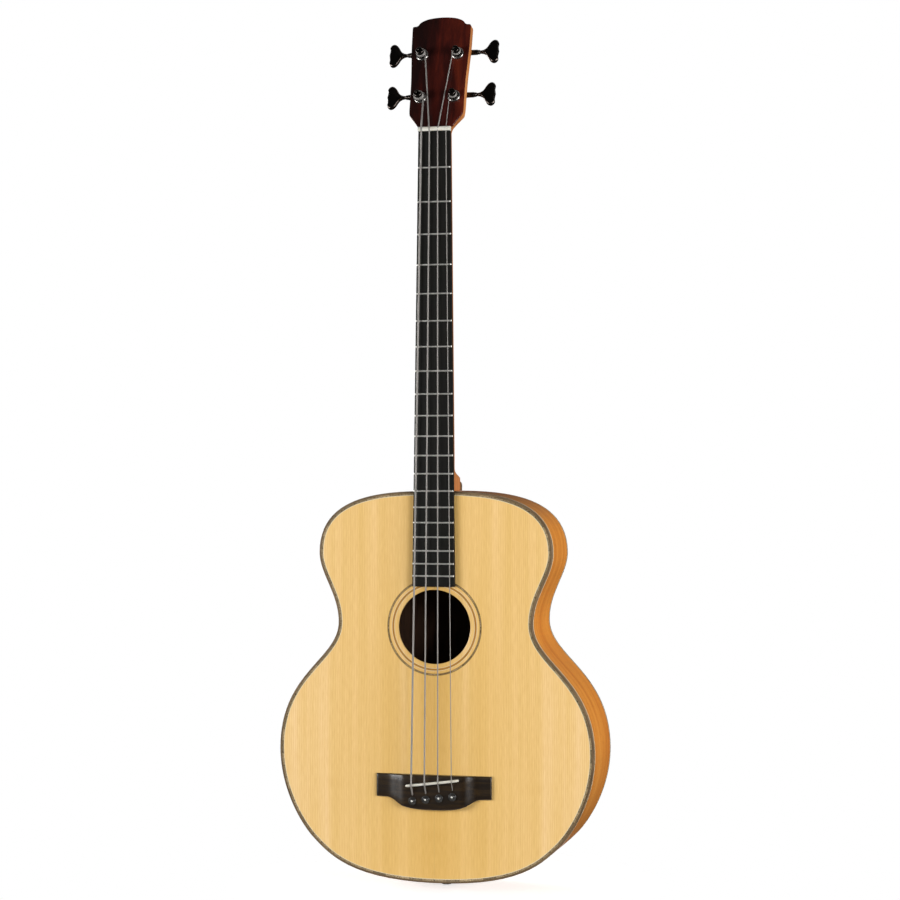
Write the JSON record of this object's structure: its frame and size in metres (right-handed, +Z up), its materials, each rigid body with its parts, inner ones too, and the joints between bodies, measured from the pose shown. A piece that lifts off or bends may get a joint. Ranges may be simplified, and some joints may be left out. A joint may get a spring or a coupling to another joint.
{
  "type": "acoustic bass guitar",
  "caption": "Flat-top acoustic bass guitar with a round sound hole, pinned bridge, fretted neck and open-geared tuning machines on a tilted headstock.",
  "frame": {"origin": "middle of the strap button's outer face, at the tail of the body", "axes": "+Z up the neck from the tail to the headstock, -Y out of the soundboard towards the player's audience, +X towards the treble (thinnest string) side; the soundboard lies in the plane y = -66.3 mm"},
  "size_m": [0.431, 0.1509, 1.1726],
  "materials": {
    "spruce_top": "clear gloss lacquer over spruce",
    "mahogany": "clear gloss lacquer over amber-stained mahogany",
    "bare_wood": "sanded, unfinished",
    "binding": "lacquered dark rosewood",
    "shell": "grey-green abalone shell under lacquer",
    "neck_wood": "satin lacquer over mahogany",
    "head_veneer": "high gloss over dark rosewood",
    "rosewood": "oiled, open grain",
    "bone": "polished off-white",
    "black_plastic": "polished black",
    "steel": "bare",
    "string_bronze": "round-wound bronze",
    "black_nickel": "black nickel plate"
  },
  "bodies": {
    "guitar": {"soundboard": "spruce_top", "back_plate": "mahogany", "rim_bass_side": "mahogany", "rim_treble_side": "mahogany", "neck_block": "bare_wood", "tail_block": "bare_wood", "top_lining_bass": "bare_wood", "top_lining_treble": "bare_wood", "back_lining_bass": "bare_wood", "back_lining_treble": "bare_wood", "x_brace_1": "bare_wood", "x_brace_2": "bare_wood", "transverse_brace": "bare_wood", "tone_bar": "bare_wood", "bridge_plate": "bare_wood", "back_brace_1": "bare_wood", "back_brace_2": "bare_wood", "back_brace_3": "bare_wood", "top_binding": "binding", "back_binding": "binding", "top_purfling": "shell", "rosette": "shell", "neck": "neck_wood", "head_veneer": "head_veneer", "fingerboard": "rosewood", "bridge": "rosewood", "heel_cap": "rosewood", "nut": "bone", "saddle": "bone", "bridge_pin_1": "black_plastic", "bridge_pin_2": "black_plastic", "bridge_pin_3": "black_plastic", "bridge_pin_4": "black_plastic", "strap_button": "black_plastic", "truss_rod": "steel", "string_e": "string_bronze", "string_a": "string_bronze", "string_d": "string_bronze", "string_g": "string_bronze", "tuner_ferrule_e": "black_nickel", "tuner_housing_e": "black_nickel", "tuner_ferrule_a": "black_nickel", "tuner_housing_a": "black_nickel", "tuner_ferrule_d": "black_nickel", "tuner_housing_d": "black_nickel", "tuner_ferrule_g": "black_nickel", "tuner_housing_g": "black_nickel"},
    "truss_rod_nut": {"truss_rod_nut": "steel"},
    "string_post_e": {"string_winding_e": "string_bronze", "string_post_e": "black_nickel"},
    "string_post_a": {"string_winding_a": "string_bronze", "string_post_a": "black_nickel"},
    "string_post_d": {"string_winding_d": "string_bronze", "string_post_d": "black_nickel"},
    "string_post_g": {"string_winding_g": "string_bronze", "string_post_g": "black_nickel"},
    "tuner_key_e": {"tuner_key_e": "black_nickel"},
    "tuner_key_a": {"tuner_key_a": "black_nickel"},
    "tuner_key_d": {"tuner_key_d": "black_nickel"},
    "tuner_key_g": {"tuner_key_g": "black_nickel"}
  },
  "joints": [
    {"name": "truss_rod_nut_turn", "type": "hinge", "parent": "guitar", "child": "truss_rod_nut", "pos_m": [0, -0.05716, 0.4772], "axis": [0, 0.0092, 1], "range_deg": [-360, 360]},
    {"name": "tuner_key_e_turn", "type": "hinge", "parent": "guitar", "child": "tuner_key_e", "pos_m": [-0.0234, -0.02956, 1.06498], "axis": [-1, 0, 0], "continuous": true},
    {"name": "string_post_e_turn", "type": "hinge", "parent": "guitar", "child": "string_post_e", "pos_m": [-0.0234, -0.05235, 1.06035], "axis": [0, -0.9703, 0.2419], "continuous": true},
    {"name": "tuner_key_a_turn", "type": "hinge", "parent": "guitar", "child": "tuner_key_a", "pos_m": [-0.0246, -0.01461, 1.12494], "axis": [-1, 0, 0], "continuous": true},
    {"name": "string_post_a_turn", "type": "hinge", "parent": "guitar", "child": "string_post_a", "pos_m": [-0.0246, -0.0374, 1.12032], "axis": [0, -0.9703, 0.2419], "continuous": true},
    {"name": "tuner_key_d_turn", "type": "hinge", "parent": "guitar", "child": "tuner_key_d", "pos_m": [0.0246, -0.01461, 1.12494], "axis": [1, 0, 0], "continuous": true},
    {"name": "string_post_d_turn", "type": "hinge", "parent": "guitar", "child": "string_post_d", "pos_m": [0.0246, -0.0374, 1.12032], "axis": [0, -0.9703, 0.2419], "continuous": true},
    {"name": "tuner_key_g_turn", "type": "hinge", "parent": "guitar", "child": "tuner_key_g", "pos_m": [0.0234, -0.02956, 1.06498], "axis": [1, 0, 0], "continuous": true},
    {"name": "string_post_g_turn", "type": "hinge", "parent": "guitar", "child": "string_post_g", "pos_m": [0.0234, -0.05235, 1.06035], "axis": [0, -0.9703, 0.2419], "continuous": true}
  ],
  "couplings": [
    {"joint": "string_post_e_turn", "follows": "tuner_key_e_turn", "ratio": -0.0625},
    {"joint": "string_post_a_turn", "follows": "tuner_key_a_turn", "ratio": -0.0625},
    {"joint": "string_post_d_turn", "follows": "tuner_key_d_turn", "ratio": 0.0625},
    {"joint": "string_post_g_turn", "follows": "tuner_key_g_turn", "ratio": 0.0625}
  ]
}
